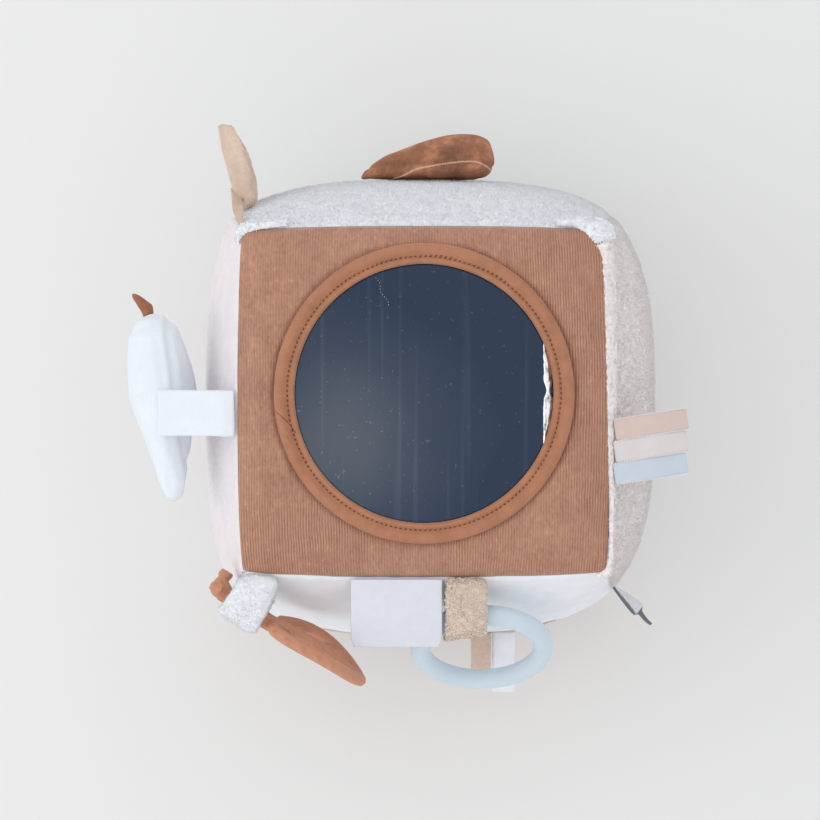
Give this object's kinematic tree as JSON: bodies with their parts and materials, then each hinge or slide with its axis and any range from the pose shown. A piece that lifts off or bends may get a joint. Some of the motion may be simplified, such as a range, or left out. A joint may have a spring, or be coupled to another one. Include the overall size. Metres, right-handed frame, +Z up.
{
  "type": "soft activity block",
  "caption": "Stuffed fabric cube for a baby, with a round mirror on top and a teether, ring, ribbons, ear, stuffed leaf and stuffed bird sewn into its seams.",
  "frame": {"origin": "middle of the flat patch on the base that the block rests on", "axes": "+Z up out of the mirror on top; +Y towards the white plush panel, -Y towards the panel with the teethers; +X towards the pink plush panel with the ribbons"},
  "size_m": [0.2322, 0.2472, 0.1672],
  "materials": {
    "stuffing": "loose white polyester fibre",
    "capsule": "moulded, satin",
    "beads": "smooth",
    "rib_knit": "brown rib knit, matte, with fine upright ribs",
    "binding_tape": "brown jersey tape, matte",
    "mirror_film": "flexible mirror film, slightly scratched",
    "backing": "stiff needled felt",
    "white_plush": "short white plush",
    "pink_plush": "short pale pink plush",
    "pale_muslin": "very pale ribbed muslin, matte",
    "white_cotton": "smooth white cotton, matte",
    "clay_muslin": "pinkish brown muslin, matte",
    "base_knit": "plain brown knit, matte",
    "tan_plush": "curly tan plush",
    "ring_silicone": "pale blue silicone, satin",
    "leaf_silicone": "terracotta silicone, satin",
    "satin_white": "white satin label, bare",
    "satin_beige": "beige-pink satin ribbon",
    "satin_pink": "pinkish white satin ribbon",
    "satin_blue": "light blue satin ribbon",
    "satin_grey": "pale grey satin ribbon",
    "tan_velour": "tan velour",
    "brown_velour": "brown velour"
  },
  "bodies": {
    "block": {"filling_lower": "stuffing", "filling_upper": "stuffing", "rattle_lower_shell": "capsule", "rattle_upper_shell": "capsule", "rattle_bead_1": "beads", "rattle_bead_2": "beads", "rattle_bead_3": "beads", "rattle_bead_4": "beads", "rattle_bead_5": "beads", "rattle_bead_6": "beads", "rattle_bead_7": "beads", "mirror_panel": "rib_knit", "mirror_binding": "binding_tape", "mirror_film": "mirror_film", "mirror_backing": "backing", "back_panel": "white_plush", "right_panel": "pink_plush", "left_panel": "pale_muslin", "front_upper_panel": "white_cotton", "front_lower_panel": "clay_muslin", "base_panel": "base_knit"},
    "strap": {"bird_strap": "white_cotton"},
    "bird": {"bird_body": "white_cotton", "bird_beak": "brown_velour"},
    "leaf_loop": {"teether_loop": "white_plush"},
    "leaf": {"leaf_teether": "leaf_silicone"},
    "ring_holder": {"ring_loop": "tan_plush"},
    "ring": {"teething_ring": "ring_silicone"},
    "label": {"care_label": "satin_white"},
    "beige": {"ribbon_beige": "satin_beige"},
    "pink": {"ribbon_pink": "satin_pink"},
    "blue": {"ribbon_blue": "satin_blue"},
    "tab": {"front_tab": "tan_velour"},
    "tag": {"front_tag": "white_cotton"},
    "ear_flap": {"ear": "tan_velour"},
    "leaf_pad": {"velour_leaf": "brown_velour"},
    "corner": {"corner_ribbon": "satin_grey"}
  },
  "joints": [
    {"name": "strap_hinge", "type": "hinge", "parent": "block", "child": "strap", "pos_m": [-0.076, -0.0048, 0.1575], "axis": [0, 1, 0], "range_deg": [0, 90]},
    {"name": "bird_swing", "type": "hinge", "parent": "strap", "child": "bird", "pos_m": [-0.1085, -0.0048, 0.15], "axis": [0, 1, 0], "range_deg": [-5, 60]},
    {"name": "teether_loop_hinge", "type": "hinge", "parent": "block", "child": "leaf_loop", "pos_m": [-0.06602, -0.07179, 0.1594], "axis": [-0.8434, 0.5373, 0], "range_deg": [0, 70]},
    {"name": "leaf_roll", "type": "hinge", "parent": "leaf_loop", "child": "leaf", "pos_m": [-0.073, -0.0845, 0.1485], "axis": [0.8434, -0.5373, 0], "range_deg": [-30, 12]},
    {"name": "ring_loop_hinge", "type": "hinge", "parent": "block", "child": "ring_holder", "pos_m": [0.017, -0.0715, 0.1575], "axis": [-1, 0, 0], "range_deg": [0, 80]},
    {"name": "ring_spin", "type": "hinge", "parent": "ring_holder", "child": "ring", "pos_m": [0.0243, -0.10273, 0.1317], "axis": [0, 0.7986, -0.6018], "continuous": true},
    {"name": "label_hinge", "type": "hinge", "parent": "block", "child": "label", "pos_m": [-0.0112, -0.07148, 0.1575], "axis": [-1, 0, 0], "range_deg": [0, 80]},
    {"name": "ribbon_beige_hinge", "type": "hinge", "parent": "block", "child": "beige", "pos_m": [0.07661, -0.0115, 0.1575], "axis": [-0.1478, 0.989, 0], "range_deg": [-70, 12], "stiffness_Nm_per_rad": 0.001},
    {"name": "ribbon_pink_hinge", "type": "hinge", "parent": "block", "child": "pink", "pos_m": [0.07656, -0.0205, 0.1575], "axis": [-0.1478, 0.989, 0], "range_deg": [-70, 12], "stiffness_Nm_per_rad": 0.001},
    {"name": "ribbon_blue_hinge", "type": "hinge", "parent": "block", "child": "blue", "pos_m": [0.07646, -0.0295, 0.1575], "axis": [-0.1478, 0.989, 0], "range_deg": [-70, 12], "stiffness_Nm_per_rad": 0.001},
    {"name": "front_tab_hinge", "type": "hinge", "parent": "block", "child": "tab", "pos_m": [0.0255, -0.10145, 0.084], "axis": [1, 0, 0], "range_deg": [-45, 50], "stiffness_Nm_per_rad": 0.001},
    {"name": "front_tag_hinge", "type": "hinge", "parent": "block", "child": "tag", "pos_m": [0.0355, -0.10092, 0.0817], "axis": [1, 0, 0], "range_deg": [-45, 50], "stiffness_Nm_per_rad": 0.001},
    {"name": "ear_hinge", "type": "hinge", "parent": "block", "child": "ear_flap", "pos_m": [-0.08138, 0.08112, 0.11], "axis": [0, 0, 1], "range_deg": [-3, 50], "stiffness_Nm_per_rad": 0.005},
    {"name": "velour_leaf_lift", "type": "hinge", "parent": "block", "child": "leaf_pad", "pos_m": [0.002, 0.09431, 0.106], "axis": [1, 0, 0], "range_deg": [0, 60]},
    {"name": "corner_ribbon_hinge", "type": "hinge", "parent": "block", "child": "corner", "pos_m": [0.07814, -0.07634, 0.13], "axis": [0, 0, 1], "range_deg": [-30, 30], "stiffness_Nm_per_rad": 0.0005}
  ],
  "couplings": [
    {"joint": "label_hinge", "follows": "ring_loop_hinge", "ratio": 1}
  ]
}
